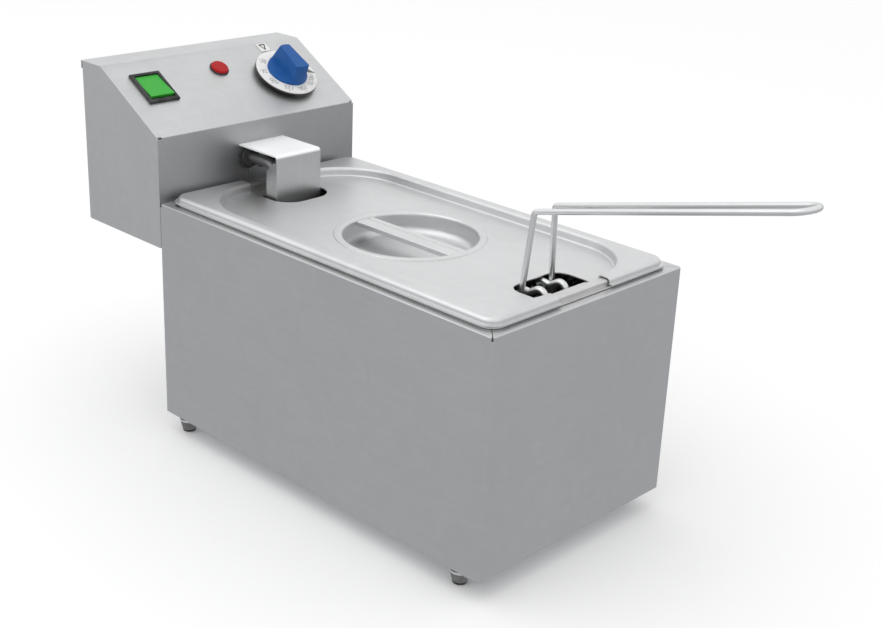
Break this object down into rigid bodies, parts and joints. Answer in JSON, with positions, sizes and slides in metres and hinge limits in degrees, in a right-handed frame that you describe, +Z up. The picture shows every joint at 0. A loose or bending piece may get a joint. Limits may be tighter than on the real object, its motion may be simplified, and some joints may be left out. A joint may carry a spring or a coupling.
{
  "type": "countertop deep fryer",
  "caption": "Stainless countertop deep fryer: boxy body on feet, lift-out tank, pressed lid, wire basket with long handle, and a sloped control head at the rear.",
  "frame": {"origin": "centre of the overall footprint on the surface that the feet stand on", "axes": "+X to the right as seen from the front, +Y from the front to the control head at the rear, +Z up"},
  "size_m": [0.19, 0.584, 0.2829],
  "materials": {
    "satin_steel": "satin, brushed",
    "tank_steel": "drawn, satin",
    "chromed_wire": "bright",
    "element_sheath": "matt grey sheath",
    "zinc_steel": "zinc plated",
    "foot_steel": "polished",
    "black_rubber": "matt",
    "black_plastic": "fine texture",
    "dial_white": "satin",
    "knob_blue": "satin",
    "rocker_green": "gloss, lit green",
    "lamp_red": "gloss, clear red",
    "terminal_white": "matt ceramic",
    "brass": "plain",
    "copper_line": "plain"
  },
  "bodies": {
    "body": {"body_shell": "satin_steel", "body_rear_panel": "satin_steel", "rear_panel_screws": "zinc_steel", "base_plate": "satin_steel", "base_screws": "zinc_steel", "foot_washers": "foot_steel", "foot_collars": "black_rubber", "foot_pads": "black_rubber", "foot_studs": "zinc_steel", "hanger_bracket": "satin_steel", "hanger_screws": "zinc_steel"},
    "tank": {"oil_tank": "tank_steel"},
    "head": {"head_shell": "satin_steel", "head_back_cover": "satin_steel", "head_cover_screws": "zinc_steel", "head_bottom_plate": "satin_steel", "head_guides": "zinc_steel", "element_glands": "black_plastic", "element_gland_nuts": "brass", "heating_element": "element_sheath", "element_terminals": "zinc_steel", "element_guard": "satin_steel", "guard_studs": "zinc_steel", "basket_rest_bars": "satin_steel", "control_sensor": "copper_line", "safety_sensor": "copper_line", "bulb_clips": "zinc_steel", "capillary_gland": "black_plastic", "switch_housing": "black_plastic", "lamp_bezel": "black_plastic", "lamp_lens": "lamp_red", "index_plate": "dial_white", "thermostat_body": "terminal_white", "thermostat_screws": "zinc_steel", "safety_thermostat": "terminal_white", "reset_nut": "zinc_steel", "terminal_block": "terminal_white", "terminal_screws": "brass", "cord_gland": "black_plastic", "cord_gland_nut": "black_plastic"},
    "switch_rocker": {"rocker": "rocker_green"},
    "thermostat_knob": {"thermostat_shaft": "zinc_steel", "dial_skirt": "black_plastic", "dial_disc": "dial_white", "knob": "knob_blue"},
    "reset": {"reset_button": "black_plastic"},
    "basket": {"basket_rim": "chromed_wire", "basket_ribs": "chromed_wire", "basket_floor": "chromed_wire", "basket_left_side": "chromed_wire", "basket_right_side": "chromed_wire", "basket_front": "chromed_wire", "basket_rear": "chromed_wire", "basket_hooks": "chromed_wire", "handle_sockets": "satin_steel"},
    "lid": {"lid_plate": "satin_steel", "lid_grip_bar": "satin_steel"},
    "handle": {"basket_handle": "chromed_wire"}
  },
  "joints": [
    {"name": "tank_lift", "type": "slide", "parent": "body", "child": "tank", "axis": [0, 0, 1], "range_m": [0, 0.15]},
    {"name": "head_lift", "type": "slide", "parent": "tank", "child": "head", "axis": [0, 0, 1], "range_m": [0, 0.15]},
    {"name": "basket_lift", "type": "slide", "parent": "head", "child": "basket", "axis": [0, 0, 1], "range_m": [0, 0.22]},
    {"name": "lid_lift", "type": "slide", "parent": "basket", "child": "lid", "axis": [0, 0, 1], "range_m": [0, 0.12]},
    {"name": "handle_unclip", "type": "slide", "parent": "basket", "child": "handle", "axis": [0, 0, 1], "range_m": [0, 0.09]},
    {"name": "switch_rock", "type": "hinge", "parent": "head", "child": "switch_rocker", "pos_m": [-0.0664, 0.2281, 0.25424], "axis": [1, 0, 0], "range_deg": [0, 12]},
    {"name": "dial_turn", "type": "hinge", "parent": "head", "child": "thermostat_knob", "pos_m": [0.0512, 0.21614, 0.25195], "axis": [0, -0.5, 0.866], "range_deg": [-280, 0]},
    {"name": "reset_press", "type": "slide", "parent": "head", "child": "reset", "axis": [0, -1, 0], "range_m": [0, 0.002], "stiffness_N_per_m": 300, "springref_m": -0.002}
  ]
}
